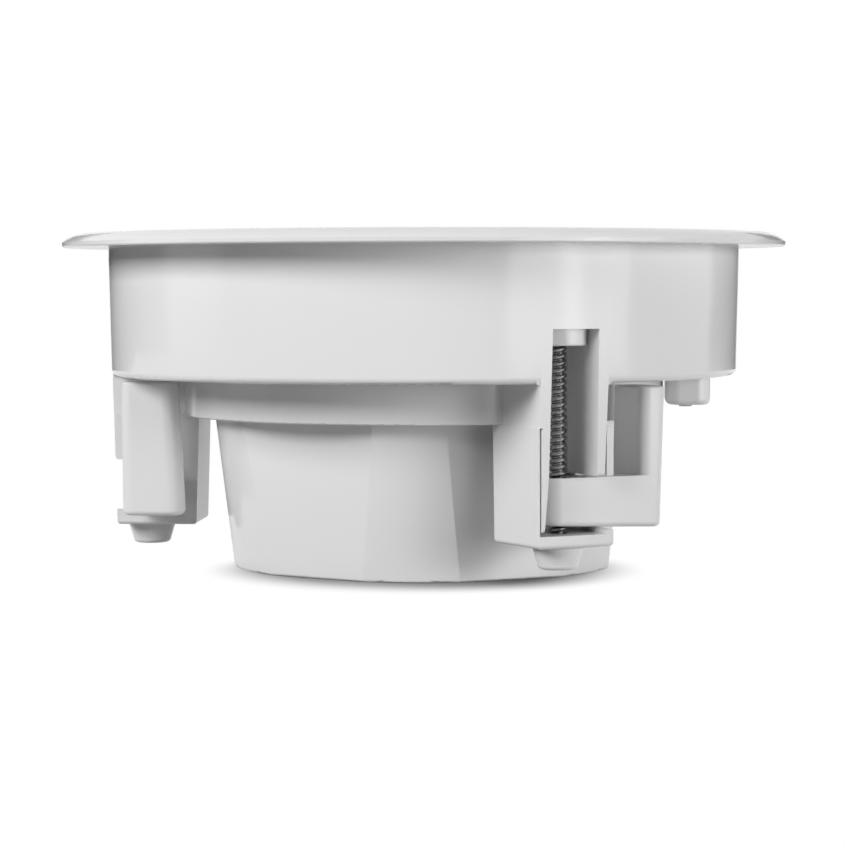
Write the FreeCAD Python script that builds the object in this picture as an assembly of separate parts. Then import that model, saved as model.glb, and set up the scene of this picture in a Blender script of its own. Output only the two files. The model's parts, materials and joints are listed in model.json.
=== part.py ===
import FreeCAD, Part
import math
import os
from FreeCAD import Vector

# Flush-mount marine speaker with three swing-out clamps. Millimetres.
# The origin is the centre of the flange's underside, where the panel's face lies, and +Z points to the
# listener. Everything below z = 0 goes through the panel's cut-out.

# Housing: flange, can and step ring
ring_radius = 74.0
step_width = 23.0
flange_width = 14.1
flange_lip = 1.45
flange_edge = 0.4
crest_inset = 6.8
crest_height = 4.2
crest_land = 1.2
crest_edge = 0.5
grille_shelf = 1.9
spigot_land = 4.0
can_depth = 39.1
can_draft = 1.2
can_round = 2.1
can_wall = 2.6
ring_drop = 12.2
ring_round = 0.5
ring_wall = 2.4
ring_lip = 7.4

# Magnet cover: a tapered cup with flat panels
cover_depth = 46.4
cover_taper = 8.3
panel_count = 6
panel_inset = 4.3
panel_taper = 5.9
cover_wall = 2.4
cover_edge = 1.2
cover_round = 0.9
cover_rim = 2.4
cover_fit = 0.4

# Clamp guides and clamps
clamp_count = 3
clamp_angle = -63.75
clamp_stand = 11.4
screw_diameter = 5.0
screw_play = 0.3
screw_head_diameter = 9.4
screw_head_height = 3.2
recess_reach = 0.28
recess_width = 0.06
recess_depth = 0.18
slot_left = 7.7
slot_right = 7.1
slot_back = 7.2
slot_draft = 0.7
slot_rise = 15.3
guide_left_wall = 3.4
guide_right_wall = 3.3
guide_draft = 0.9
guide_roof = 2.4
guide_round = 1.0
guide_boss_diameter = 16.2
guide_boss_drop = 4.8
guide_boss_round = 0.6
guide_tube_diameter = 11.0
guide_drop = 26.0
left_web = 1.0
right_web = 1.3
web_inset = 0.4
stop_drop = 41.4
stop_taper = 1.1
stop_reach = 4.5
cap_stand = 1.9
cap_inset = 2.0
cap_lean = 1.0
cap_wall = 2.3
cap_side = 0.9
cap_edge = 0.3
cap_flare = 0.8
cap_fit = 0.45
cap_gap = 0.3
cap_height = 30.3
cap_floor = 3.6
cap_column = 8.0
cap_lip = 1.2
cap_round = 1.2
cap_boss_top = 14.4
cap_boss_bottom = 11.8
cap_boss_drop = 6.6
cap_boss_round = 1.5
cap_boss_flare = 0.8
dog_front = 3.9
dog_back = 6.5
dog_end = 5.0
dog_corner = 4.5
dog_height = 13.5
dog_lift = 2.2
dog_droop = 1.6
dog_reach = 33.9
dog_round = 1.6
dog_crook = 2.0
post_width = 8.6
post_back = 14.8
post_flare = 1.4
post_lean = 1.8
post_corner = 3.2
post_heel = 4.8
post_toe = 2.0
post_gap = 1.4
post_round = 0.8

# Terminal box beside the step ring
terminal_length = 13.5
terminal_width = 30.0
terminal_drop = 9.0
terminal_wall = 1.8
terminal_corner = 4.5
terminal_round = 1.7
terminal_gap = 0.5
terminal_screw_offset = 6.4
terminal_screw_diameter = 3.0
terminal_head_diameter = 4.4
terminal_head_height = 1.0
terminal_head_round = 0.6
terminal_block_height = 3.0
tab_width = 4.8
tab_thickness = 0.8
tab_length = 3.4
tab_spacing = 16.0
lead_notch = 3.0

# Grille
grille_fit = 0.4
grille_thickness = 2.0
grille_dome = 1.1
grille_edge = 0.5
grille_rim = 7.0
grille_hub = 9.0
grille_rows = 8
grille_spokes = 12
grille_slot = 6.0
grille_spoke_width = 3.6

# Driver frame
basket_depth = 12.0
basket_fit = 0.5
basket_sheet = 2.5
basket_mouth = 69.5
basket_waist = 43.0
basket_window = 36.0
basket_shelf = 3.5
spider_depth = 39.5
motor_depth = 48.0
boss_inset = 8.5
boss_diameter = 8.0
boss_count = 6
basket_screw_diameter = 3.0
basket_screw_head = 5.6
basket_screw_head_height = 2.0
basket_screw_length = 10.0

# Moving parts of the driver
cone_radius = 58.0
cone_drop = 6.5
cone_sheet = 0.9
surround_seat = 3.3
surround_sheet = 0.8
surround_bow = 4.1
surround_sag = 1.95
cone_belly = 2.0
cone_curve = 0.44
coil_radius = 15.1
former_sheet = 0.3
former_length = 24.0
neck_depth = 34.0
winding_sheet = 0.6
winding_length = 11.0
spider_cup = 3.5
spider_sheet = 0.6
spider_waves = 4
spider_swell = 0.15
spider_seat = 3.6
glue_gap = 0.1

# Magnet motor
air_gap = 0.8
plate_radius = 45.0
plate_thickness = 5.0
magnet_radius = 48.0
magnet_bore = 25.0
magnet_thickness = 18.0
yoke_thickness = 6.0

# Tweeter on its post
post_radius = 5.0
tweeter_radius = 17.0
tweeter_depth = 16.0
tweeter_front = 6.0
tweeter_wall = 1.6
tweeter_foot = 2.0
tweeter_flare = 3.0
tweeter_seat = 2.0
tweeter_bowl = 3.4
tweeter_brim = 3.0
dome_radius = 11.0
dome_height = 4.0
tweeter_magnet_radius = 9.0
tweeter_magnet_height = 4.0

# Crossover on the cover's floor
board_length = 62.0
board_width = 44.0
board_thickness = 1.6
standoff_height = 3.0
standoff_diameter = 6.0
standoff_inset = 5.0
capacitor_diameter = 11.0
capacitor_length = 24.0
inductor_diameter = 20.0
inductor_core = 8.0
inductor_height = 10.0

# Radii and heights that follow from the sizes above
spigot_radius = ring_radius + step_width
flange_radius = spigot_radius + flange_width
crest_radius = flange_radius - crest_inset
grille_seat = crest_radius - crest_land
screw_circle = ring_radius + clamp_stand
boss_circle = spigot_radius - boss_inset
cover_neck = ring_radius - ring_lip - cover_fit
cap_back = ring_radius - ring_lip + cap_stand
can_bottom = -can_depth
ring_bottom = can_bottom - ring_drop
cover_bottom = ring_bottom - cover_depth
slot_top = can_bottom + slot_rise
boss_bottom = slot_top - guide_boss_drop
guide_bottom = can_bottom - guide_drop
stop_bottom = can_bottom - stop_drop
cap_floor_top = ring_bottom - cap_height
cap_floor_bottom = cap_floor_top - cap_floor
cap_bottom = cap_floor_bottom - cap_boss_drop
dog_bottom = cap_floor_top + dog_lift
dog_top = dog_bottom + dog_height
dog_low = dog_bottom - dog_droop
post_top = can_bottom - post_gap
guide_left = -slot_left - guide_left_wall
guide_right = slot_right + guide_right_wall
basket_seat = -basket_depth
basket_top = basket_seat + basket_sheet
cover_floor_top = cover_bottom + cover_wall
plate_bottom = -motor_depth - plate_thickness
magnet_bottom = plate_bottom - magnet_thickness
floor_top = can_bottom + can_wall
far = 2.0 * flange_radius


def slope(angle):
    return math.tan(math.radians(angle))


def can_radius(z):
    # outer radius of the drafted can below its straight land
    return spigot_radius + slope(can_draft) * min(0.0, z + spigot_land)


def outline(start, *steps):
    # face in the X-Z plane: a step is a point, or a pair of points for an arc through the first
    edges = []
    here = Vector(start[0], 0, start[1])
    first = here
    for step in steps:
        if isinstance(step[0], tuple):
            middle = Vector(step[0][0], 0, step[0][1])
            end = Vector(step[1][0], 0, step[1][1])
            edges.append(Part.Arc(here, middle, end).toShape())
        else:
            end = Vector(step[0], 0, step[1])
            edges.append(Part.LineSegment(here, end).toShape())
        here = end
    edges.append(Part.LineSegment(here, first).toShape())
    return Part.Face(Part.Wire(edges))


def turned(start, *steps):
    return outline(start, *steps).revolve(Vector(), Vector(0, 0, 1), 360)


def round_corner(centre, radius, angle):
    # point of a corner arc, by its angle in the X-Z plane
    turn = math.radians(angle)
    return (centre[0] + radius * math.cos(turn), centre[1] + radius * math.sin(turn))


def dome_middle(radius, rise):
    # point halfway along a dome's arc, from the dome's centre line and its foot
    ball = (radius * radius + rise * rise) / (2 * rise)
    half = 0.5 * math.asin(radius / ball)
    return (ball * math.sin(half), rise - ball * (1 - math.cos(half)))


def outward(x, *points):
    # block that runs out along X from a face with the given (y, z) corners
    ring = [Vector(x, y, z) for y, z in points + points[:1]]
    return Part.Face(Part.makePolygon(ring)).extrude(Vector(far, 0, 0))


def raised(z0, z1, *points):
    # block that runs up along Z from a face with the given (x, y) corners
    ring = [Vector(x, y, z0) for x, y in points + points[:1]]
    return Part.Face(Part.makePolygon(ring)).extrude(Vector(0, 0, z1 - z0))


def block(x0, x1, y0, y1, z0, z1):
    return Part.makeBox(x1 - x0, y1 - y0, z1 - z0, Vector(x0, y0, z0))


def rod(radius, z0, z1, x=0.0, y=0.0):
    return Part.makeCylinder(radius, z1 - z0, Vector(x, y, z0))


def tube(outer, inner, z0, z1):
    return rod(outer, z0, z1).cut(rod(inner, z0, z1))


def spun(shape, angle):
    return shape.rotated(Vector(), Vector(0, 0, 1), angle)


def fused(shapes):
    return shapes[0].multiFuse(shapes[1:]).removeSplitter()


def save(shape, name):
    shape.exportStep("parts/" + name + ".step")


def upright(edge):
    # a straight edge that runs mainly along Z
    ends = edge.Vertexes
    if len(ends) < 2 or not isinstance(edge.Curve, (Part.Line, Part.LineSegment)):
        return False
    run = ends[1].Point.sub(ends[0].Point)
    return abs(run.z) > 0.9 * run.Length


def stands_at(edge, x, y):
    return all(math.hypot(v.Point.x - x, v.Point.y - y) < 1e-4 for v in edge.Vertexes)


def at_level(edge, z):
    return all(abs(v.Point.z - z) < 1e-4 for v in edge.Vertexes)


def clamp_angles():
    return [clamp_angle + 360.0 * k / clamp_count for k in range(clamp_count)]


# Housing

def can_shell():
    rise = crest_height - flange_lip
    roll = (crest_inset * crest_inset + rise * rise) / (2 * rise)
    roll_centre = (crest_radius, crest_height - roll)
    roll_turn = math.degrees(math.asin(crest_inset / roll))
    crest_turn = (grille_seat + crest_edge, crest_height - crest_edge)
    inner_top = spigot_radius - can_wall
    foot = can_radius(can_bottom)
    turn_in = (foot - can_round, can_bottom + can_round)
    ring_turn = (ring_radius - ring_round, ring_bottom + ring_round)
    lip_top_z = ring_bottom + ring_wall
    return turned(
        (inner_top, grille_shelf),
        (grille_seat, grille_shelf),
        (grille_seat, crest_turn[1]),
        (round_corner(crest_turn, crest_edge, 135), (crest_turn[0], crest_height)),
        (crest_radius, crest_height),
        (round_corner(roll_centre, roll, 90 - roll_turn / 2), (flange_radius, flange_lip)),
        (flange_radius, flange_edge),
        (flange_radius - flange_edge, 0),
        (spigot_radius, 0),
        (spigot_radius, -spigot_land),
        (foot, can_bottom + can_round),
        (round_corner(turn_in, can_round, -45), (foot - can_round, can_bottom)),
        (ring_radius, can_bottom),
        (ring_radius, ring_turn[1]),
        (round_corner(ring_turn, ring_round, -45), (ring_turn[0], ring_bottom)),
        (ring_radius - ring_lip, ring_bottom),
        (ring_radius - ring_lip, lip_top_z),
        (ring_radius - ring_wall, lip_top_z),
        (ring_radius - ring_wall, floor_top),
        (foot - can_wall, floor_top),
        (inner_top, -spigot_land),
    )


def slot_cut():
    # the channel that the clamp's arm rises in, open to the outside and below, with a drafted left wall
    return outward(
        screw_circle - slot_back,
        (-slot_left, slot_top),
        (-slot_left - slot_draft, guide_bottom),
        (-slot_left - slot_draft - stop_taper, stop_bottom),
        (slot_right, stop_bottom),
        (slot_right, slot_top),
    )


def cap_inner(x):
    # inner face of the cap's left wall, which thins towards the front
    share = (x - cap_back) / (spigot_radius - cap_back)
    return guide_left + cap_side + share * (cap_edge - cap_side)


def can_envelope(top, bottom):
    # the can's drafted outside, carried on down to a rounded lower edge
    foot = can_radius(bottom)
    bend = (foot - guide_round, bottom + guide_round)
    return turned(
        (0, top),
        (can_radius(top), top),
        (foot, bend[1]),
        (round_corner(bend, guide_round, -45), (bend[0], bottom)),
        (0, bottom),
    )


def guide():
    # one clamp guide in its own frame: +X outward, +Y to the right as seen from outside
    roof = slot_top + guide_roof
    body = outward(
        ring_radius - ring_wall / 2,
        (guide_left, roof),
        (guide_right, roof),
        (guide_right, can_bottom),
        (guide_right - guide_draft, guide_bottom),
        (guide_left, guide_bottom),
    )
    body = body.common(can_envelope(roof, guide_bottom))
    # the stop below the left wall, with room for the cap's wall beside it
    stop = block(screw_circle - stop_reach, far, guide_left, 0, stop_bottom, guide_bottom + guide_round)
    stop = stop.common(can_envelope(roof, stop_bottom))
    beside = raised(
        stop_bottom, ring_bottom,
        (0, cap_inner(0) + cap_fit),
        (far, cap_inner(far) + cap_fit),
        (far, -far),
        (0, -far),
    )
    return body.fuse(stop).cut(slot_cut()).cut(beside)


def web(wall, bend, side):
    # the rounded inside corner between the can's bottom and one wall of a guide
    corner = block(ring_radius - ring_wall / 2, far, wall - bend, wall + bend,
                   can_bottom - bend, can_bottom + can_wall / 2)
    hollow = Part.makeCylinder(bend, far, Vector(0, wall + side * bend, can_bottom - bend), Vector(1, 0, 0))
    skin = rod(can_radius(can_bottom) - web_inset, can_bottom - bend, can_bottom + can_wall / 2)
    return corner.common(skin).cut(hollow)


def guide_column():
    # tube for the clamp screw, from the basket's seat down to the boss in the slot's roof
    tube_part = rod(guide_tube_diameter / 2, slot_top, basket_seat, screw_circle)
    boss = rod(guide_boss_diameter / 2, boss_bottom, slot_top + guide_roof / 2, screw_circle)
    boss = boss.makeFillet(guide_boss_round, [e for e in boss.Edges if at_level(e, boss_bottom)])
    return tube_part.fuse(boss)


def screw_bore(z0, z1):
    return rod(screw_diameter / 2 + screw_play, z0, z1, screw_circle)


def make_housing():
    shell = can_shell()
    guides = []
    for angle in clamp_angles():
        shell = shell.cut(spun(slot_cut(), angle))
        webs = [web(guide_left, left_web, -1), web(guide_right, right_web, 1)]
        tower = fused([guide(), guide_column()] + webs)
        guides.append(spun(tower.cut(screw_bore(boss_bottom, basket_seat)), angle))
    bosses = []
    for k in range(boss_count):
        boss = rod(boss_diameter / 2, floor_top - can_wall / 2, basket_seat, boss_circle)
        hole = rod(basket_screw_diameter / 2, basket_seat - basket_screw_length, basket_seat, boss_circle)
        bosses.append(spun(boss.cut(hole), clamp_angle + (k + 0.5) * 360.0 / boss_count))
    shape = fused([shell] + guides + bosses)
    return shape.cut(spun(terminal_openings(), clamp_angle + 180.0 / clamp_count))


# Magnet cover

def cover_body(inset, z_low):
    # tapered cup with flat panels, drawn in by a wall thickness
    fall = ring_bottom - z_low
    cone = turned(
        (0, ring_bottom),
        (cover_neck - inset, ring_bottom),
        (cover_neck - inset - slope(cover_taper) * fall, z_low),
        (0, z_low),
    )
    flats = []
    for z, drop in ((ring_bottom, 0.0), (z_low, fall)):
        apothem = cover_neck - panel_inset - inset - slope(panel_taper) * drop
        corner = apothem / math.cos(math.pi / panel_count)
        ring = []
        for k in range(panel_count + 1):
            turn = math.radians(clamp_angle + (k + 0.5) * 360.0 / panel_count)
            ring.append(Vector(corner * math.cos(turn), corner * math.sin(turn), z))
        flats.append(Part.makePolygon(ring))
    return cone.common(Part.makeLoft(flats, True, True))


def make_magnet_cover():
    lip_top = ring_bottom + ring_wall
    cup = cover_body(0.0, cover_bottom)
    cup = cup.makeFillet(cover_edge, [e for e in cup.Edges if not at_level(e, ring_bottom) and
                                      not at_level(e, cover_bottom) and e.Length > 0.7 * cover_depth])
    cup = cup.makeFillet(cover_round, [e for e in cup.Edges if at_level(e, cover_bottom)])
    cup = cup.cut(cover_body(cover_wall, cover_floor_top))
    rim = turned(
        (cover_neck - panel_inset - cover_wall, ring_bottom),
        (cover_neck, ring_bottom),
        (cover_neck, lip_top),
        (ring_radius - ring_wall - cover_fit, lip_top),
        (ring_radius - ring_wall - cover_fit, lip_top + cover_rim),
        (cover_neck - panel_inset - cover_wall, lip_top + cover_rim),
    )
    feet = []
    foot_bottom = cover_floor_top - cover_wall / 2
    for x, y in board_corners():
        foot = rod(standoff_diameter / 2, foot_bottom, cover_floor_top + standoff_height, x, y)
        feet.append(spun(foot, clamp_angle))
    return fused([cup, rim] + feet)


# Clamps

def make_cap():
    # open bracket that closes a guide: back wall, side walls and a floor with a boss
    inner_right = guide_right + cap_gap
    inner_back = cap_back + cap_lean + cap_wall
    ends = []
    for z, back in ((cap_floor_bottom, cap_back + cap_lean), (ring_bottom, cap_back)):
        ends.append(Part.makePolygon([
            Vector(back, guide_left - cap_flare, z),
            Vector(spigot_radius, guide_left, z),
            Vector(spigot_radius, inner_right + cap_wall, z),
            Vector(back, inner_right + cap_wall, z),
            Vector(back, guide_left - cap_flare, z),
        ]))
    skin = rod(spigot_radius - cap_inset, cap_floor_bottom, ring_bottom)
    shape = Part.makeLoft(ends, True, True).common(skin)
    behind = [e for e in shape.Edges if upright(e) and e.CenterOfMass.x < screw_circle]
    shape = shape.makeFillet(cap_round, behind + [e for e in shape.Edges if at_level(e, cap_floor_bottom)])
    shape = shape.cut(raised(
        cap_floor_top, ring_bottom,
        (inner_back, cap_inner(inner_back)),
        (spigot_radius, cap_inner(spigot_radius)),
        (spigot_radius, inner_right),
        (inner_back, inner_right),
    ))
    window_bottom = cap_floor_top + cap_lip
    shape = shape.cut(block(cap_back + cap_column, far, 0, far, window_bottom, guide_bottom))
    top = cap_boss_top / 2
    low = cap_boss_bottom / 2
    bend = cap_boss_round
    flare = cap_boss_flare
    boss = turned(
        (0, cap_floor_bottom),
        (top + flare, cap_floor_bottom),
        (round_corner((top + flare, cap_floor_bottom - flare), flare, 135), (top, cap_floor_bottom - flare)),
        (low, cap_bottom + bend),
        (round_corner((low - bend, cap_bottom + bend), bend, -45), (low - bend, cap_bottom)),
        (0, cap_bottom),
    )
    boss.translate(Vector(screw_circle, 0, 0))
    shape = fused([shape, boss])
    return shape.cut(screw_bore(cap_bottom + cap_wall, cap_floor_top))


def dog_post(near, front):
    # upright that grips the panel's back: it leans, flares towards its top and has four unlike corners
    start = screw_circle - post_back
    sides = outward(
        0,
        (near, dog_low),
        (dog_reach - post_flare, dog_low),
        (dog_reach, post_top),
        (near, post_top),
    )
    ends = outline(
        (start, dog_low),
        (front, dog_low),
        (front, post_top),
        (start + post_lean, post_top),
    )
    shape = sides.common(ends.extrude(Vector(0, far, 0)))
    middle = shape.BoundBox.Center
    for x, y, radius in ((-1, -1, post_toe), (1, -1, post_corner), (1, 1, post_corner), (-1, 1, post_heel)):
        offsets = [(e, e.CenterOfMass.sub(middle)) for e in shape.Edges if upright(e)]
        shape = shape.makeFillet(radius, [e for e, away in offsets if away.x * x > 0 and away.y * y > 0])
    return shape.makeFillet(post_round, [e for e in shape.Edges if at_level(e, post_top)])


def make_dog():
    # L-shaped clamp: a hub on the screw, an arm, and a post at the arm's end
    near = dog_reach - post_width
    front = screw_circle + dog_front
    back = screw_circle - dog_back
    arm = block(back, front, -dog_end, near + (post_width - post_flare) / 2, dog_low, dog_top)
    arm = arm.makeFillet(dog_corner, [e for e in arm.Edges if upright(e) and e.CenterOfMass.y < 0])
    shape = fused([arm, dog_post(near, front)])
    shape = shape.makeFillet(dog_crook, [e for e in shape.Edges if upright(e) and stands_at(e, back, near)])
    # the underside slopes down towards the post
    shape = shape.cut(outward(
        0,
        (-dog_end, dog_bottom),
        (dog_reach, dog_low),
        (dog_reach, dog_low - dog_droop),
        (-dog_end, dog_low - dog_droop),
    ))
    shape = shape.makeFillet(dog_round, [e for e in shape.Edges if e.BoundBox.ZMax < dog_bottom + dog_round])
    return shape.cut(screw_bore(dog_low, dog_top))


def make_clamp_screw():
    head_seat = basket_seat + screw_play / 3
    tip = cap_bottom + cap_wall + screw_play
    shank = rod(screw_diameter / 2, tip, head_seat, screw_circle)
    head = rod(screw_head_diameter / 2, head_seat, head_seat + screw_head_height, screw_circle)
    rim = [e for e in head.Edges if at_level(e, head_seat + screw_head_height)]
    head = head.makeFillet(screw_head_height / 2, rim)
    shape = fused([shank, head])
    return shape.cut(cross_recess(screw_head_diameter, head_seat + screw_head_height, screw_circle))


def cross_recess(diameter, top, x):
    long = recess_reach * diameter
    thin = recess_width * diameter
    deep = recess_depth * diameter
    bar = block(-long, long, -thin, thin, top - deep, top)
    return bar.fuse(spun(bar, 90)).translated(Vector(x, 0, 0))


# Terminal box, in a frame turned to its place between two clamps

def terminal_start():
    return ring_radius + terminal_gap


def terminal_screw_place():
    return terminal_start() + terminal_screw_offset


def make_terminal_cover():
    start = terminal_start()
    end = start + terminal_length
    half = terminal_width / 2
    low = can_bottom - terminal_drop
    box = block(start, end, -half, half, low, can_bottom)
    box = box.makeFillet(terminal_corner, [e for e in box.Edges if upright(e)])
    box = box.makeFillet(terminal_round, [e for e in box.Edges if at_level(e, low)])
    wall = terminal_wall
    room = block(start + wall, end - wall, -half + wall, half - wall, low + wall, can_bottom)
    pillar = rod(terminal_screw_diameter, low + wall / 2, can_bottom, terminal_screw_place())
    box = fused([box.cut(room), pillar])
    box = box.cut(rod(terminal_screw_diameter / 2 + screw_play / 2, low, can_bottom, terminal_screw_place()))
    notch_start = Vector((start + end) / 2, half - 1.5 * wall, can_bottom)
    return box.cut(Part.makeCylinder(lead_notch, 2 * wall, notch_start, Vector(0, 1, 0)))


def make_terminal_block():
    wall = terminal_wall + terminal_gap
    start = terminal_start() + wall
    end = terminal_start() + terminal_length - wall
    half = terminal_width / 2 - wall - lead_notch
    low = can_bottom - terminal_block_height
    plate = block(start, end, -half, half, low, can_bottom)
    return plate.cut(rod(terminal_screw_diameter + terminal_gap, low, can_bottom, terminal_screw_place()))


def make_terminal_tabs():
    x = terminal_start() + terminal_length / 2
    top = can_bottom - terminal_block_height
    tabs = []
    for side in (-1, 1):
        y = side * tab_spacing / 2
        tabs.append(block(x - tab_width / 2, x + tab_width / 2, y - tab_thickness / 2, y + tab_thickness / 2,
                          top - tab_length, top))
    return Part.makeCompound(tabs)


def make_terminal_screw():
    low = can_bottom - terminal_drop
    x = terminal_screw_place()
    head = rod(terminal_head_diameter / 2, low - terminal_head_height, low, x)
    rim = [e for e in head.Edges if at_level(e, low - terminal_head_height)]
    head = head.makeFillet(terminal_head_round, rim)
    return fused([head, rod(terminal_screw_diameter / 2, low, floor_top, x)])


def terminal_openings():
    # the lead's way into the can, and the hole for the cover's screw
    x = terminal_start() + terminal_length / 2
    openings = [rod(terminal_screw_diameter / 2, can_bottom, floor_top, terminal_screw_place())]
    for side in (-1, 1):
        openings.append(rod(tab_width / 2, can_bottom, floor_top, x, side * tab_spacing / 2))
    return Part.makeCompound(openings)


# Grille: a shallow dome with rows of arc slots between spokes

def make_grille():
    rim = grille_seat - grille_fit
    base = grille_shelf
    top = base + grille_thickness
    flat = rim - grille_rim
    bulge = dome_middle(flat, grille_dome)
    dome = turned(
        (0, base + grille_dome),
        ((bulge[0], base + bulge[1]), (flat, base)),
        (rim, base),
        (rim, top - grille_edge),
        (rim - grille_edge, top),
        (flat, top),
        ((bulge[0], top + bulge[1]), (0, top + grille_dome)),
    )
    pitch = (flat - grille_hub) / grille_rows
    under = base - grille_thickness
    over = top + grille_dome + grille_thickness
    rows = []
    for k in range(grille_rows):
        start = grille_hub + k * pitch
        rows.append(tube(start + grille_slot, start, under, over))
    slots = Part.makeCompound(rows)
    spokes = []
    for k in range(grille_spokes):
        spoke = block(0, rim, -grille_spoke_width / 2, grille_spoke_width / 2, under, over)
        spokes.append(spun(spoke, clamp_angle + k * 360.0 / grille_spokes))
    return dome.cut(slots.cut(fused(spokes)))


# Driver frame

def basket_rim_radius():
    return spigot_radius - can_wall - slope(can_draft) * (basket_depth - spigot_land) - basket_fit


def make_basket():
    rim = basket_rim_radius()
    sheet = basket_sheet
    waist = basket_waist
    shelf = -spider_depth
    shape = turned(
        (basket_mouth, basket_top),
        (rim, basket_top),
        (rim, basket_seat),
        (basket_mouth + sheet, basket_seat),
        (waist + sheet, shelf - sheet / 2),
        (waist + sheet, -motor_depth),
        (coil_radius + 2 * air_gap + sheet, -motor_depth),
        (coil_radius + 2 * air_gap + sheet, -motor_depth + sheet),
        (waist, -motor_depth + sheet),
        (waist, shelf - sheet),
        (waist - basket_shelf, shelf - sheet),
        (waist - basket_shelf, shelf),
        (waist, shelf),
        (basket_mouth, basket_seat),
    )
    cuts = []
    for k in range(boss_count):
        angle = clamp_angle + (k + 0.5) * 360.0 / boss_count
        window = block(waist + 2 * sheet, basket_mouth - sheet, -basket_window / 2, basket_window / 2,
                       shelf, basket_seat - sheet)
        hole = rod(basket_screw_diameter / 2 + screw_play, basket_seat, basket_top, boss_circle)
        cuts.append(spun(window, angle))
        cuts.append(spun(hole, angle))
    for angle in clamp_angles():
        hole = rod(screw_head_diameter / 2 + 2 * screw_play, basket_seat, basket_top, screw_circle)
        cuts.append(spun(hole, angle))
    return shape.cut(cuts)


def make_basket_screws():
    screws = []
    for k in range(boss_count):
        shank = rod(basket_screw_diameter / 2, basket_seat - basket_screw_length, basket_top, boss_circle)
        head = rod(basket_screw_head / 2, basket_top, basket_top + basket_screw_head_height, boss_circle)
        top = basket_top + basket_screw_head_height
        head = head.makeFillet(basket_screw_head_height / 2, [e for e in head.Edges if at_level(e, top)])
        screw = fused([shank, head]).cut(cross_recess(basket_screw_head, top, boss_circle))
        screws.append(spun(screw, clamp_angle + (k + 0.5) * 360.0 / boss_count))
    return Part.makeCompound(screws)


# Moving parts of the driver

def cone_edge():
    return basket_top - cone_drop


def make_surround():
    # rubber edge that hangs from the basket's rim down to the cone's edge
    outer = basket_mouth
    seat = outer + surround_seat
    top = basket_top + surround_sheet
    edge = cone_edge()
    inner = cone_radius - surround_seat
    sheet = surround_sheet
    middle = (cone_radius + surround_bow, edge + surround_sag)
    return turned(
        (seat, basket_top),
        (seat, top),
        (outer - sheet, top),
        ((middle[0] - sheet / 2, middle[1] + sheet), (cone_radius - sheet, edge + sheet)),
        (inner, edge + sheet),
        (inner, edge),
        (cone_radius, edge),
        ((middle[0] + sheet / 2, middle[1]), (outer - glue_gap, basket_top)),
    )


def make_cone():
    top = cone_edge() - glue_gap
    neck = coil_radius + former_sheet + glue_gap
    low = -neck_depth
    sheet = cone_sheet
    rise = top - low
    middle = ((cone_radius + neck) / 2 - cone_belly, low + cone_curve * rise)
    return turned(
        (cone_radius, top),
        (cone_radius - surround_seat, top),
        ((middle[0] - sheet, middle[1]), (neck, low + sheet)),
        (neck, low - sheet),
        ((middle[0] + sheet / 2, middle[1] - sheet), (cone_radius, top - sheet)),
    )


def former_top():
    return -neck_depth + 2 * cone_sheet


def make_coil_former():
    return tube(coil_radius + former_sheet, coil_radius, former_top() - former_length, former_top())


def make_voice_coil():
    low = former_top() - former_length
    inner = coil_radius + former_sheet
    return tube(inner + winding_sheet, inner, low, low + winding_length)


def make_spider():
    # cupped cloth disc with round waves, from the basket's shelf up to the former
    outer = basket_waist - glue_gap
    start = outer - spider_seat
    inner = coil_radius + former_sheet + glue_gap
    base = -spider_depth
    rise = spider_cup / spider_waves
    run = (start - inner) / spider_waves
    sheet = spider_sheet
    low = []
    for k in range(spider_waves):
        x = start - k * run
        z = base + k * rise
        low.append(((x - run / 2, z + spider_swell * rise), (x - run, z + rise)))
    high = []
    for k in reversed(range(spider_waves)):
        x = start - k * run
        z = base + k * rise + sheet
        high.append(((x - run / 2, z + spider_swell * rise), (x, z)))
    neck = (inner, base + spider_cup + sheet)
    return turned((outer, base), (start, base), *low, neck, *high, (outer, base + sheet))


# Magnet motor

def make_front_plate():
    bore = coil_radius + former_sheet + winding_sheet + air_gap
    return tube(plate_radius, bore, plate_bottom, -motor_depth)


def make_magnet():
    return tube(magnet_radius, magnet_bore, magnet_bottom, plate_bottom)


def make_yoke():
    pole = rod(coil_radius - air_gap, magnet_bottom - yoke_thickness, -motor_depth)
    disc = rod(plate_radius, magnet_bottom - yoke_thickness, magnet_bottom)
    return fused([disc, pole])


# Tweeter

def make_tweeter_post():
    foot = coil_radius - 4 * air_gap
    return turned(
        (0, -motor_depth),
        (foot, -motor_depth),
        (foot, -motor_depth + tweeter_foot),
        (post_radius, -motor_depth + tweeter_foot + tweeter_flare),
        (post_radius, -tweeter_depth),
        (0, -tweeter_depth),
    )


def make_tweeter_housing():
    wall = tweeter_wall
    front = -tweeter_front
    back = -tweeter_depth
    return turned(
        (0, back),
        (post_radius + tweeter_seat, back),
        ((tweeter_radius - tweeter_bowl, back + tweeter_brim), (tweeter_radius, front - tweeter_brim)),
        (tweeter_radius, front),
        (dome_radius + wall, front),
        (dome_radius, front - wall),
        (dome_radius, back + 2 * wall),
        (0, back + 2 * wall),
    )


def make_tweeter_magnet():
    base = -tweeter_depth + 2 * tweeter_wall
    return rod(tweeter_magnet_radius, base, base + tweeter_magnet_height)


def make_tweeter_dome():
    base = -tweeter_depth + 2 * tweeter_wall + tweeter_magnet_height
    edge = dome_radius - glue_gap
    foot = base + tweeter_wall / 2
    bulge = dome_middle(edge, dome_height)
    return turned(
        (0, base),
        (edge, base),
        (edge, foot),
        ((bulge[0], foot + bulge[1]), (0, foot + dome_height)),
    )


# Crossover

def board_corners():
    x = board_length / 2 - standoff_inset
    y = board_width / 2 - standoff_inset
    return [(x, y), (-x, y), (-x, -y), (x, -y)]


def board_top():
    return cover_floor_top + standoff_height + board_thickness


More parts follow.
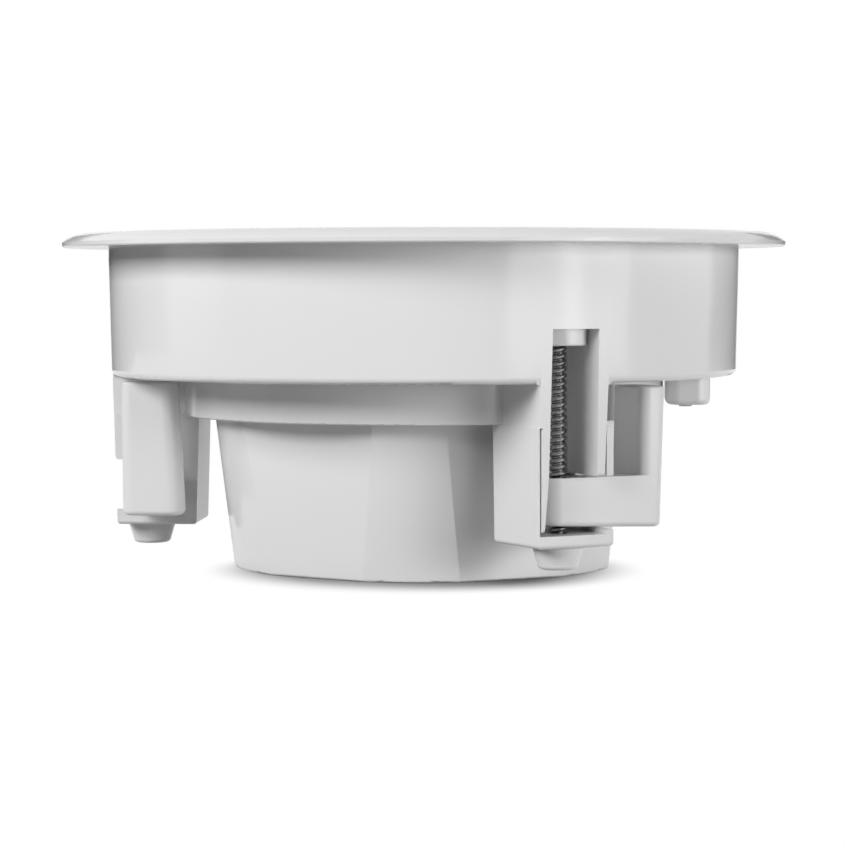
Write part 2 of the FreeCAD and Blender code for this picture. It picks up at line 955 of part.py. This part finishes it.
def make_crossover_board():
    base = cover_floor_top + standoff_height
    return block(-board_length / 2, board_length / 2, -board_width / 2, board_width / 2, base, board_top())


def make_crossover_capacitor():
    radius = capacitor_diameter / 2
    y = -board_width / 4
    return Part.makeCylinder(radius, capacitor_length, Vector(-capacitor_length / 2, y, board_top() + radius),
                             Vector(1, 0, 0))


def make_crossover_coil():
    shape = tube(inductor_diameter / 2, inductor_core / 2, board_top(), board_top() + inductor_height)
    return shape.translated(Vector(0, board_width / 2 - inductor_diameter / 2, 0))


os.makedirs("parts", exist_ok=True)
save(make_housing(), "housing")
save(make_magnet_cover(), "magnet_cover")
for number, angle in enumerate(clamp_angles(), 1):
    save(spun(make_cap(), angle), "clamp_cap_%d" % number)
    save(spun(make_dog(), angle), "clamp_dog_%d" % number)
    save(spun(make_clamp_screw(), angle), "clamp_screw_%d" % number)

terminal_angle = clamp_angle + 180.0 / clamp_count
save(spun(make_terminal_cover(), terminal_angle), "terminal_cover")
save(spun(make_terminal_screw(), terminal_angle), "terminal_cover_screw")
save(spun(make_terminal_block(), terminal_angle), "terminal_block")
save(spun(make_terminal_tabs(), terminal_angle), "terminal_tabs")

save(make_grille(), "grille")
save(make_basket(), "basket")
save(make_basket_screws(), "basket_screws")
save(make_surround(), "surround")
save(make_cone(), "cone")
save(make_coil_former(), "coil_former")
save(make_voice_coil(), "voice_coil")
save(make_spider(), "spider")
save(make_front_plate(), "front_plate")
save(make_magnet(), "magnet")
save(make_yoke(), "yoke")
save(make_tweeter_post(), "tweeter_post")
save(make_tweeter_housing(), "tweeter_housing")
save(make_tweeter_magnet(), "tweeter_magnet")
save(make_tweeter_dome(), "tweeter_dome")
save(spun(make_crossover_board(), clamp_angle), "crossover_board")
save(spun(make_crossover_capacitor(), clamp_angle), "crossover_capacitor")
save(spun(make_crossover_coil(), clamp_angle), "crossover_coil")
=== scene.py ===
import json
import math

import bpy
import numpy as np
from mathutils import Matrix, Vector


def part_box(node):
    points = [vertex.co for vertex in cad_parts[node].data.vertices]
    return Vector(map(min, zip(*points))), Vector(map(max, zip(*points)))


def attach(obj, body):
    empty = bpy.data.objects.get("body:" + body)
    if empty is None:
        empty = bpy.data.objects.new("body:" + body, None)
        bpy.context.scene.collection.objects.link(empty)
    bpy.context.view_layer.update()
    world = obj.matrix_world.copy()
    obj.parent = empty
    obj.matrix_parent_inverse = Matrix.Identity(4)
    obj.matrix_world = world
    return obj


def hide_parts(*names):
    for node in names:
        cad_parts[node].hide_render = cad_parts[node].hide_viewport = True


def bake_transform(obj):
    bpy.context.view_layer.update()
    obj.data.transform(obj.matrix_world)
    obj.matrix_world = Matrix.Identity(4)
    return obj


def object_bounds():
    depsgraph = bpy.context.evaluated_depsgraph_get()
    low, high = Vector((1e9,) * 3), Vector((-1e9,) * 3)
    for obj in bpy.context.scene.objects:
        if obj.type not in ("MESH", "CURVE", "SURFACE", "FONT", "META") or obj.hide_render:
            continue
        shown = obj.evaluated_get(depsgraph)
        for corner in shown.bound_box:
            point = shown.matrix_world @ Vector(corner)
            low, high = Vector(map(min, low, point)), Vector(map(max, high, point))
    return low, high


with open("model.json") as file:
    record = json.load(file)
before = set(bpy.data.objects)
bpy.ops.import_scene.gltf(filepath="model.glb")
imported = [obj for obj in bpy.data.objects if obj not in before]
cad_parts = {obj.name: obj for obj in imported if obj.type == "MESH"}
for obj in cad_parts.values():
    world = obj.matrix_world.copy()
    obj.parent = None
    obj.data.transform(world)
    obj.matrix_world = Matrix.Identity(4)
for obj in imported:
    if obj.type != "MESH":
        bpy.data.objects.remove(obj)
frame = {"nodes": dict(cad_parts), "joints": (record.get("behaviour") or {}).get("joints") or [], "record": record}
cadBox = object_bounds()
print("stage: frame loaded with", len(frame["nodes"]), "nodes")

floorLevel = cadBox[0][2]
fullTurn = 2 * math.pi
plainWhite = (1.0, 1.0, 1.0)
plainBlack = (0.0, 0.0, 0.0)


# shader values as Python expressions: a Shade wraps one socket of a node tree
class Shade:
    def __init__(self, tree, socket=None):
        self.tree = tree
        self.socket = socket

    def node(self, kind, settings=None, sockets=None, out=0):
        made = self.tree.nodes.new(kind)
        for name, value in (settings or {}).items():
            setattr(made, name, value)
        for name, value in (sockets or {}).items():
            if isinstance(value, Shade):
                self.tree.links.new(value.socket, made.inputs[name])
            else:
                made.inputs[name].default_value = value
        return Shade(self.tree, made.outputs[out] if len(made.outputs) else None)

    def calc(self, operation, first, second):
        return self.node("ShaderNodeMath", {"operation": operation}, {0: first, 1: second})

    def __add__(self, other):
        return self.calc("ADD", self, other)

    def __radd__(self, other):
        return self.calc("ADD", other, self)

    def __sub__(self, other):
        return self.calc("SUBTRACT", self, other)

    def __rsub__(self, other):
        return self.calc("SUBTRACT", other, self)

    def __mul__(self, other):
        return self.calc("MULTIPLY", self, other)

    def __rmul__(self, other):
        return self.calc("MULTIPLY", other, self)


def rgba(colour):
    return (colour[0], colour[1], colour[2], 1.0)


def scaled(colour, factor):
    return tuple(min(1.0, c * factor) for c in colour)


def blankMaterial(name):
    material = bpy.data.materials.new(name)
    material.use_nodes = True
    material.node_tree.nodes.clear()
    return material, Shade(material.node_tree)


def finishSurface(shade, sockets):
    surface = shade.node("ShaderNodeBsdfPrincipled", {}, sockets)
    shade.node("ShaderNodeOutputMaterial", {}, {"Surface": surface})


def objectPlace(shade, stretch):
    place = shade.node("ShaderNodeTexCoord", {}, {}, "Object")
    return shade.node("ShaderNodeMapping", {}, {"Vector": place, "Scale": stretch})


def noise(shade, place, scale, detail):
    return shade.node("ShaderNodeTexNoise", {}, {"Vector": place, "Scale": scale, "Detail": detail})


# a Mix node keeps its colours in inputs 6 and 7 and output 2
def tint(shade, mask, low, high):
    sockets = {"Factor": mask, 6: rgba(low), 7: rgba(high)}
    return shade.node("ShaderNodeMix", {"data_type": "RGBA"}, sockets, 2)


def bump(shade, height, strength, depth):
    return shade.node("ShaderNodeBump", {}, {"Height": height, "Strength": strength, "Distance": depth})


# a grained finish: slow clouds shift the colour, and fine grain shifts the roughness and makes the bump
def grainedFinish(look):
    material, shade = blankMaterial(look["name"])
    place = objectPlace(shade, look.get("stretch", (1.0, 1.0, 1.0)))
    cloud = noise(shade, place, look["cloud"], detail=2.0)
    grain = noise(shade, place, look["grain"], detail=3.0)
    darker = scaled(look["colour"], 1 - look["shift"])
    lighter = scaled(look["colour"], 1 + look["shift"])
    sockets = {
        "Base Color": tint(shade, cloud, darker, lighter),
        "Roughness": look["rough"] + (grain - 0.5) * look["roughShift"],
        "Metallic": look.get("metal", 0.0),
        "Normal": bump(shade, grain, look["bump"], look["depth"]),
    }
    sockets.update(look.get("sockets", {}))
    finishSurface(shade, sockets)
    return material


# one finish for each material slot: cloud and grain are noise scales per metre, depth is in metres
finishLooks = {
    "white_plastic": dict(
        name="whiteShellPlastic", colour=(0.80, 0.80, 0.80), shift=0.012, cloud=18.0, grain=1400.0,
        rough=0.14, roughShift=0.04, bump=0.03, depth=0.00003, sockets={"IOR": 1.42}),
    "grille_plastic": dict(
        name="whiteGrillePlastic", colour=(0.80, 0.80, 0.80), shift=0.012, cloud=18.0, grain=1100.0,
        rough=0.36, roughShift=0.06, bump=0.08, depth=0.00004, sockets={"IOR": 1.42}),
    "clamp_plastic": dict(
        name="whiteClampPlastic", colour=(0.78, 0.78, 0.78), shift=0.012, cloud=30.0, grain=1600.0,
        rough=0.24, roughShift=0.05, bump=0.04, depth=0.00003, sockets={"IOR": 1.5}),
    # stainless: a darkened steel colour, partly the screws' own tone and partly painted shade for the shaded clamp
    # slots
    "stainless": dict(
        name="stainlessWithPaintedShade", colour=(0.29, 0.29, 0.295), shift=0.06, cloud=300.0, grain=2500.0,
        rough=0.24, roughShift=0.08, bump=0.03, depth=0.00002, metal=1.0),
    "black_plastic": dict(
        name="blackPlastic", colour=(0.025, 0.025, 0.027), shift=0.1, cloud=60.0, grain=1500.0,
        rough=0.5, roughShift=0.1, bump=0.1, depth=0.00005),
    "surround_rubber": dict(
        name="surroundRubber", colour=(0.018, 0.018, 0.019), shift=0.15, cloud=80.0, grain=2200.0,
        rough=0.6, roughShift=0.15, bump=0.1, depth=0.00004),
    "cone_plastic": dict(
        name="conePlastic", colour=(0.42, 0.43, 0.44), shift=0.05, cloud=90.0, grain=900.0,
        rough=0.42, roughShift=0.1, bump=0.15, depth=0.00006),
    "former_foil": dict(
        name="formerFoil", colour=(0.72, 0.72, 0.73), shift=0.04, cloud=200.0, grain=2000.0,
        rough=0.28, roughShift=0.1, bump=0.03, depth=0.00002, metal=1.0),
    "copper_wire": dict(
        name="copperWire", colour=(0.62, 0.27, 0.11), shift=0.08, cloud=40.0, grain=2600.0,
        rough=0.3, roughShift=0.1, bump=0.3, depth=0.00006, metal=1.0, stretch=(0.05, 0.05, 1.0)),
    "spider_cloth": dict(
        name="spiderCloth", colour=(0.52, 0.36, 0.11), shift=0.12, cloud=120.0, grain=1300.0,
        rough=0.85, roughShift=0.1, bump=0.5, depth=0.00012),
    "zinc_steel": dict(
        name="zincSteel", colour=(0.55, 0.56, 0.57), shift=0.08, cloud=70.0, grain=1500.0,
        rough=0.32, roughShift=0.15, bump=0.05, depth=0.00003, metal=1.0),
    "ferrite": dict(
        name="ferrite", colour=(0.035, 0.035, 0.037), shift=0.2, cloud=150.0, grain=1700.0,
        rough=0.55, roughShift=0.2, bump=0.25, depth=0.00008),
    "brass_tab": dict(
        name="tinnedBrass", colour=(0.68, 0.62, 0.48), shift=0.06, cloud=200.0, grain=2200.0,
        rough=0.28, roughShift=0.1, bump=0.03, depth=0.00002, metal=1.0),
    "dome_film": dict(
        name="domeFilm", colour=(0.70, 0.70, 0.72), shift=0.04, cloud=120.0, grain=1800.0,
        rough=0.2, roughShift=0.06, bump=0.04, depth=0.00003),
    "circuit_board": dict(
        name="circuitBoard", colour=(0.012, 0.11, 0.045), shift=0.25, cloud=160.0, grain=1500.0,
        rough=0.4, roughShift=0.1, bump=0.08, depth=0.00004),
    "capacitor_sleeve": dict(
        name="capacitorSleeve", colour=(0.012, 0.02, 0.07), shift=0.1, cloud=120.0, grain=1500.0,
        rough=0.35, roughShift=0.1, bump=0.05, depth=0.00004),
}
finishes = {slot: grainedFinish(look) for slot, look in finishLooks.items()}
print("stage: finishes made,", len(finishes))

# points nearer than merge, in metres, become one, and edges past edgeAngle, in degrees, stay crisp
smoothingLook = dict(merge=1e-6, edgeAngle=38)


# the CAD meshes are loose triangles: merge them and shade smooth up to the edge angle
def smoothingGroup(look):
    group = bpy.data.node_groups.new("cadSmoothing", "GeometryNodeTree")
    group.interface.new_socket("Geometry", in_out="INPUT", socket_type="NodeSocketGeometry")
    group.interface.new_socket("Geometry", in_out="OUTPUT", socket_type="NodeSocketGeometry")
    shade = Shade(group)
    start = shade.node("NodeGroupInput")
    merged = shade.node("GeometryNodeMergeByDistance", {}, {"Geometry": start, "Distance": look["merge"]})
    smooth = shade.node("GeometryNodeSetShadeSmooth", {"domain": "FACE"}, {0: merged})
    angle = shade.node("GeometryNodeInputMeshEdgeAngle")
    larger = {"data_type": "FLOAT", "operation": "GREATER_THAN"}
    sharp = shade.node("FunctionNodeCompare", larger, {0: angle, 1: math.radians(look["edgeAngle"])})
    edged = shade.node("GeometryNodeSetShadeSmooth", {"domain": "EDGE"}, {0: smooth, 1: sharp, 2: False})
    shade.node("NodeGroupOutput", {}, {0: edged})
    return group


def dressNodes(look):
    group = smoothingGroup(look)
    slotOf = {row["node"]: row["material_slot"] for row in frame["record"]["subparts"]}
    for name, obj in frame["nodes"].items():
        finish = finishes[slotOf[name]]
        if not obj.material_slots:
            obj.data.materials.append(finish)
        for materialSlot in obj.material_slots:
            materialSlot.material = finish
        smoothing = obj.modifiers.new("smoothing", "NODES")
        smoothing.node_group = group
        flats = obj.modifiers.new("flats", "WEIGHTED_NORMAL")
        flats.keep_sharp = True


dressNodes(smoothingLook)
print("stage: nodes dressed")


# three arrays that share a grid become one list of points, row by row
def gridPoints(x, y, z):
    return np.stack(np.broadcast_arrays(x, y, z), -1).reshape(-1, 3)


# angles of the columns of a grid that closes round them
def columnTurns(columns):
    return np.linspace(0, fullTurn, columns, endpoint=False)[None, :]


# faces of an open grid
def sheetFaces(rows, columns):
    first = np.arange(rows - 1)[:, None] * columns + np.arange(columns - 1)
    above = first + columns
    return np.stack([first, first + 1, above + 1, above], -1).reshape(-1, 4).tolist()


# faces of a grid that closes round its columns, with one point at each end
def latheFaces(rows, columns):
    ring = np.arange(columns)
    after = (ring + 1) % columns
    first = 1 + np.arange(rows - 1)[:, None] * columns
    above = first + columns
    quads = np.stack([first + ring, first + after, above + after, above + ring], -1).reshape(-1, 4)
    low = np.stack([np.zeros(columns, int), 1 + after, 1 + ring], -1)
    last = 1 + (rows - 1) * columns
    high = np.stack([np.full(columns, 1 + rows * columns), last + ring, last + after], -1)
    return low.tolist() + quads.tolist() + high.tolist()


# faces of a grid that closes both round its columns and round its rows
def hoopFaces(rows, columns):
    row = np.arange(rows)[:, None] * columns
    after = np.roll(row, -1, 0)
    ring = np.arange(columns)[None, :]
    turned = np.roll(ring, -1, 1)
    return np.stack([row + ring, row + turned, after + turned, after + ring], -1).reshape(-1, 4).tolist()


def newPiece(name, points, faces, finish):
    mesh = bpy.data.meshes.new(name)
    mesh.from_pydata(points.tolist(), [], faces)
    mesh.validate()
    mesh.polygons.foreach_set("use_smooth", np.ones(len(mesh.polygons), bool))
    mesh.materials.append(finish)
    piece = bpy.data.objects.new(name, mesh)
    bpy.context.scene.collection.objects.link(piece)
    return piece


# clamp screws in metres: crest and root are the thread's radii, a fullness under 1 widens the crest, the
# thread runs out over the neck, and tipLeast and topLeast are shares of the radius at the two ends
screwLook = dict(
    pitch=0.00195, crest=0.0025, root=0.00172, fullness=0.55, neck=0.0022, columns=48, perTurn=14,
    tip=0.0026, tipLeast=0.12, tipRise=0.00005,
    head=0.0047, headHeight=0.0032, headRound=0.0016, roundRows=9, topRows=26, topLeast=0.02,
    crossLong=0.0027, crossThin=0.00058, crossEdge=0.00012, crossDeep=0.0016)


# one bar of the cross recess: 1 inside the bar, falling to 0 over the width of its edge
def crossBar(along, across, look):
    inside = np.minimum(look["crossLong"] - along, look["crossThin"] - across)
    return np.clip(inside / look["crossEdge"], 0, 1)


# a screw as one lathe grid: the shank's radius follows a rounded ridge that climbs one pitch for each turn,
# the head is a pan profile, and its top dips where the cross recess is
def threadedScrew(name, place, low, high, look):
    turn = columnTurns(look["columns"])
    under = high - look["headHeight"]
    count = int((under - low) / look["pitch"] * look["perTurn"])
    shankZ = np.linspace(low + look["tipRise"], under, count)[:, None]
    phase = shankZ / look["pitch"] - turn / fullTurn
    ridge = (0.5 + 0.5 * np.cos(fullTurn * phase)) ** look["fullness"]
    fade = np.clip((under - shankZ) / look["neck"], 0, 1)
    narrowing = np.clip((shankZ - low) / look["tip"], look["tipLeast"], 1)
    thread = ridge * fade + (1 - fade)
    shankR = (look["root"] + (look["crest"] - look["root"]) * thread) * narrowing

    bend = np.linspace(0, math.pi / 2, look["roundRows"])[:, None]
    roundR = look["head"] - look["headRound"] * (1 - np.cos(bend))
    roundZ = high - look["headRound"] + look["headRound"] * np.sin(bend)
    topR = np.linspace(1, look["topLeast"], look["topRows"])[1:, None] * (look["head"] - look["headRound"])
    x = np.abs(topR * np.cos(turn))
    y = np.abs(topR * np.sin(turn))
    dip = np.maximum(crossBar(x, y, look), crossBar(y, x, look))

    ones = np.ones_like(turn)
    radius = np.vstack([shankR, ones * look["head"], roundR * ones, topR * ones])
    height = np.vstack([shankZ * ones, ones * under, roundZ * ones, high - look["crossDeep"] * dip])
    rings = gridPoints(place[0] + radius * np.cos(turn), place[1] + radius * np.sin(turn), height)
    foot = [place[0], place[1], low]
    middle = [place[0], place[1], high - look["crossDeep"]]
    points = np.vstack([[foot], rings, [middle]])
    return newPiece(name, points, latheFaces(len(radius), look["columns"]), finishes["stainless"])


for joint in frame["joints"]:
    if joint["name"].startswith("screw_"):
        node = "clamp_" + joint["child"]
        lowest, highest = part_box(node)
        screw = threadedScrew(joint["child"] + "_threaded", joint["pos_m"], lowest.z, highest.z, screwLook)
        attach(screw, joint["child"])
        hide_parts(node)
print("stage: screws threaded")

# soft rings that hold the cone, in metres: hole is the inner radius, seat and lip are the flat widths at
# the outer and the inner edge, sheet is the thickness, and a ring that climbs is higher at its inner edge
softRings = {
    "surround_soft": dict(
        node="surround", slot="surround_rubber", climbs=False, hole=0.0547, seat=0.0037, lip=0.0029,
        sheet=0.0008, sag=0.0006, waves=3, wave=0.00012, rows=60, columns=180),
    "spider_soft": dict(
        node="spider", slot="spider_cloth", climbs=True, hole=0.0156, seat=0.0036, lip=0.0004,
        sheet=0.0005, sag=0.0, waves=4, wave=0.00018, rows=72, columns=120),
}


# one strip turned about the axis: flat at both edges, and between them an even slope,
# less a parabola for the sag, plus a sine for the waves
def softRing(name, look):
    low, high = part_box(look["node"])
    half = look["sheet"] / 2
    levels = (low.z + half, high.z - half) if look["climbs"] else (high.z - half, low.z + half)
    radius = np.linspace(high.x, look["hole"], look["rows"])
    outer = high.x - look["seat"]
    step = np.clip((outer - radius) / (outer - look["hole"] - look["lip"]), 0, 1)
    middle = levels[0] + (levels[1] - levels[0]) * step - look["sag"] * 4 * step * (1 - step)
    middle = middle + look["wave"] * np.sin(fullTurn * look["waves"] * step)
    stripR = np.concatenate([radius, radius[::-1]])[:, None]
    stripZ = np.concatenate([middle + half, (middle - half)[::-1]])[:, None]
    turn = columnTurns(look["columns"])
    points = gridPoints(stripR * np.cos(turn), stripR * np.sin(turn), stripZ)
    ring = newPiece(name, points, hoopFaces(len(stripR), look["columns"]), finishes[look["slot"]])
    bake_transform(ring)
    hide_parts(look["node"])


for name, look in softRings.items():
    softRing(name, look)
print("stage: soft rings made")

# the floor, in metres: contact is the reach of the painted shadow round the foot and depth its strength,
# and past farWhite from a point forward of the axis the floor is plain white
floorLook = dict(
    size=6.0, rows=3, contact=0.05, samples=8, depth=1.5, forward=0.022, nearWhite=0.042, farWhite=0.069,
    bounce=0.28)


# 1 on rays from the camera and on those from gloss and glass, and 0 on the rays that light the object
def seenRay(shade):
    camera = shade.node("ShaderNodeLightPath", {}, {}, "Is Camera Ray")
    glossy = shade.node("ShaderNodeLightPath", {}, {}, "Is Glossy Ray")
    through = shade.node("ShaderNodeLightPath", {}, {}, "Is Transmission Ray")
    return shade.calc("MAXIMUM", camera, shade.calc("MAXIMUM", glossy, through))


# white floor with a painted soft shadow where the speaker's foot meets it, its emission darkened by ambient
# occlusion
def whiteFloor(look):
    material, shade = blankMaterial("paleFloor")
    around = {"Distance": look["contact"]}
    clear = shade.node("ShaderNodeAmbientOcclusion", {"samples": look["samples"]}, around, "AO")
    # painted shadow: the occlusion, raised to the power depth, darkens the floor's emission near the foot
    paintedShadowLevel = shade.calc("POWER", clear, look["depth"])
    place = shade.node("ShaderNodeTexCoord", {}, {}, "Object")
    foot = (0, -look["forward"], floorLevel)
    reach = shade.node("ShaderNodeVectorMath", {"operation": "DISTANCE"}, {0: place, 1: foot}, "Value")
    span = {"Value": reach, "From Min": look["nearWhite"], "From Max": look["farWhite"]}
    far = shade.node("ShaderNodeMapRange", {"interpolation_type": "SMOOTHSTEP"}, span)
    bounce = shade.node("ShaderNodeBsdfDiffuse", {}, {"Color": rgba((look["bounce"],) * 3)})
    paintedShadowBlack = shade.node("ShaderNodeEmission", {}, {"Color": rgba(plainBlack), "Strength": 1.0})
    white = shade.node("ShaderNodeEmission", {}, {"Color": rgba(plainWhite), "Strength": 1.0})
    shown = shade.node("ShaderNodeMixShader", {}, {0: paintedShadowLevel + (1 - paintedShadowLevel) * far, 1: paintedShadowBlack, 2: white})
    surface = shade.node("ShaderNodeMixShader", {}, {0: seenRay(shade), 1: bounce, 2: shown})
    shade.node("ShaderNodeOutputMaterial", {}, {"Surface": surface})
    return material


# a flat square grid at the level of the speaker's foot
def makeFloor(look):
    half = look["size"] / 2
    side = np.linspace(-half, half, look["rows"])
    points = gridPoints(side[None, :], side[:, None], floorLevel)
    floor = newPiece("floor", points, sheetFaces(look["rows"], look["rows"]), whiteFloor(look))


makeFloor(floorLook)

# dark cloths round the set, seen only in the gloss: they draw the edges of the white can
clothLook = dict(grey=0.02, rough=1.0, rows=3, columns=25)
clothPlaces = {
    "clothLeft": dict(bearing=-132, spread=62, distance=1.2, height=0.5),
    "clothRight": dict(bearing=142, spread=40, distance=1.2, height=0.5),
    "clothFront": dict(bearing=0, spread=150, distance=1.7, height=1.2),
}


def darkCloth(look):
    material, shade = blankMaterial("darkCloth")
    finishSurface(shade, {"Base Color": rgba((look["grey"],) * 3), "Roughness": look["rough"]})
    return material


# an upright arc round the object: the columns turn about its axis and the rows rise from the floor
def makeCloth(name, place, look, finish):
    bearings = place["bearing"] + place["spread"] * np.linspace(-0.5, 0.5, look["columns"])
    turn = np.radians(bearings)[None, :]
    rise = floorLevel + place["height"] * np.linspace(0, 1, look["rows"])[:, None]
    points = gridPoints(place["distance"] * np.sin(turn), -place["distance"] * np.cos(turn), rise)
    cloth = newPiece(name, points, sheetFaces(look["rows"], look["columns"]), finish)
    cloth.visible_camera = False
    cloth.visible_shadow = False
    cloth.visible_diffuse = False


clothFinish = darkCloth(clothLook)
for name, place in clothPlaces.items():
    makeCloth(name, place, clothLook, clothFinish)
print("stage: floor and cloths set")

# the world is white where it is seen, and ambient is the light that it gives the object
worldLook = dict(ambient=0.0)


def makeWorld(look):
    world = bpy.data.worlds.new("studioWorld")
    world.use_nodes = True
    world.node_tree.nodes.clear()
    shade = Shade(world.node_tree)
    dim = shade.node("ShaderNodeBackground", {}, {"Color": rgba(plainWhite), "Strength": look["ambient"]})
    white = shade.node("ShaderNodeBackground", {}, {"Color": rgba(plainWhite), "Strength": 1.0})
    mixed = shade.node("ShaderNodeMixShader", {}, {0: seenRay(shade), 1: dim, 2: white})
    shade.node("ShaderNodeOutputWorld", {}, {"Surface": mixed})
    bpy.context.scene.world = world


makeWorld(worldLook)

# soft boxes: bearing is counted from the front towards the right, angles are in degrees, lengths in
# metres and power in watts, and shine=False keeps a lamp out of the gloss
lampLooks = {
    "keyLeft": dict(
        bearing=-48.5, rise=24.5, distance=1.3, width=0.78, height=0.48, power=14.6, shine=False),
    "fillRight": dict(
        bearing=51, rise=0, distance=0.85, width=0.72, height=0.17, power=1.25, shine=True),
    "fillCore": dict(
        bearing=50.3, rise=3, distance=0.84, width=0.125, height=0.28, power=0.30, shine=True),
    "fillHigh": dict(
        bearing=58, rise=6.5, distance=1.3, width=0.74, height=0.36, power=7.1, shine=False),
    "backHigh": dict(
        bearing=176, rise=68, distance=1.3, width=1.2, height=0.9, power=4.6, shine=False),
    "backLow": dict(
        bearing=180, rise=20, distance=1.3, width=1.4, height=0.5, power=8.0, shine=False),
}


def makeLamp(name, look):
    lamp = bpy.data.lights.new(name, "AREA")
    lamp.shape = "RECTANGLE"
    lamp.size = look["width"]
    lamp.size_y = look["height"]
    lamp.energy = look["power"]
    holder = bpy.data.objects.new(name, lamp)
    holder.visible_glossy = look["shine"]
    bpy.context.scene.collection.objects.link(holder)
    bearing = math.radians(look["bearing"])
    rise = math.radians(look["rise"])
    level = math.cos(rise)
    away = Vector((math.sin(bearing) * level, -math.cos(bearing) * level, math.sin(rise)))
    centre = Vector((0, 0, (floorLevel + cadBox[1][2]) / 2))
    holder.location = centre + away * look["distance"]
    holder.rotation_euler = away.to_track_quat("Z", "Y").to_euler()


for name, look in lampLooks.items():
    makeLamp(name, look)
print("stage: lamps set")

# the photograph's camera: frame and focal length in pixels, sensor in millimetres, place in metres,
# angles in degrees
cameraLook = dict(
    frame=844, focal=2657, sensor=36.0, farthest=50.0, right=-0.00061, distance=0.825, height=-0.01101,
    down=2.991, roll=-0.114)


def makeCamera(look):
    data = bpy.data.cameras.new("photoCamera")
    data.sensor_width = look["sensor"]
    data.lens = look["focal"] * look["sensor"] / look["frame"]
    data.clip_end = look["farthest"]
    camera = bpy.data.objects.new("photoCamera", data)
    bpy.context.scene.collection.objects.link(camera)
    down = math.radians(look["down"])
    roll = math.radians(look["roll"])
    right = Vector((1, 0, 0))
    back = Vector((0, -math.cos(down), math.sin(down)))
    up = back.cross(right)
    turnedRight = right * math.cos(roll) + up * math.sin(roll)
    turnedUp = up * math.cos(roll) - right * math.sin(roll)
    axes = Matrix((turnedRight, turnedUp, back)).transposed().to_4x4()
    axes.translation = Vector((look["right"], -look["distance"], look["height"]))
    camera.matrix_world = axes
    bpy.context.scene.camera = camera


makeCamera(cameraLook)
bpy.context.scene.view_settings.view_transform = "Standard"
print("stage: camera set")

bpy.context.view_layer.update()
